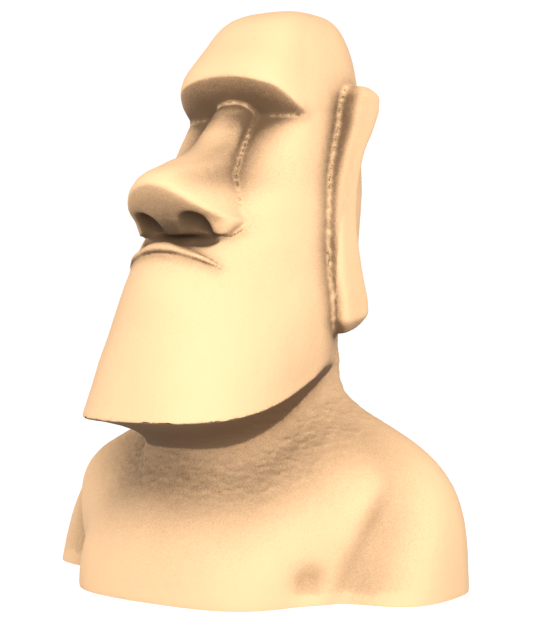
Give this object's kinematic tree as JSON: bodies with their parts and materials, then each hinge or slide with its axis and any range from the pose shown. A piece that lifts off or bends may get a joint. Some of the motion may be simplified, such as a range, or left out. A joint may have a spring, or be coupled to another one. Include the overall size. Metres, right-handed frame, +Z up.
{
  "type": "moai head statue",
  "caption": "Stone bust of a moai: a tall narrow head with a heavy brow, broad nose, jutting chin and long ears, on sloping shoulders cut flat below.",
  "frame": {"origin": "on the flat underside, on the plane of symmetry, below the head", "axes": "+Z up, the face looks along -Y, +X to the statue's left"},
  "size_m": [1.8598, 1.415, 2.37],
  "materials": {
    "stone": "matt carved volcanic tuff, pale cream, with a fine grain and chipped edges"
  },
  "bodies": {
    "root": {"moai_bust": "stone"}
  },
  "joints": []
}
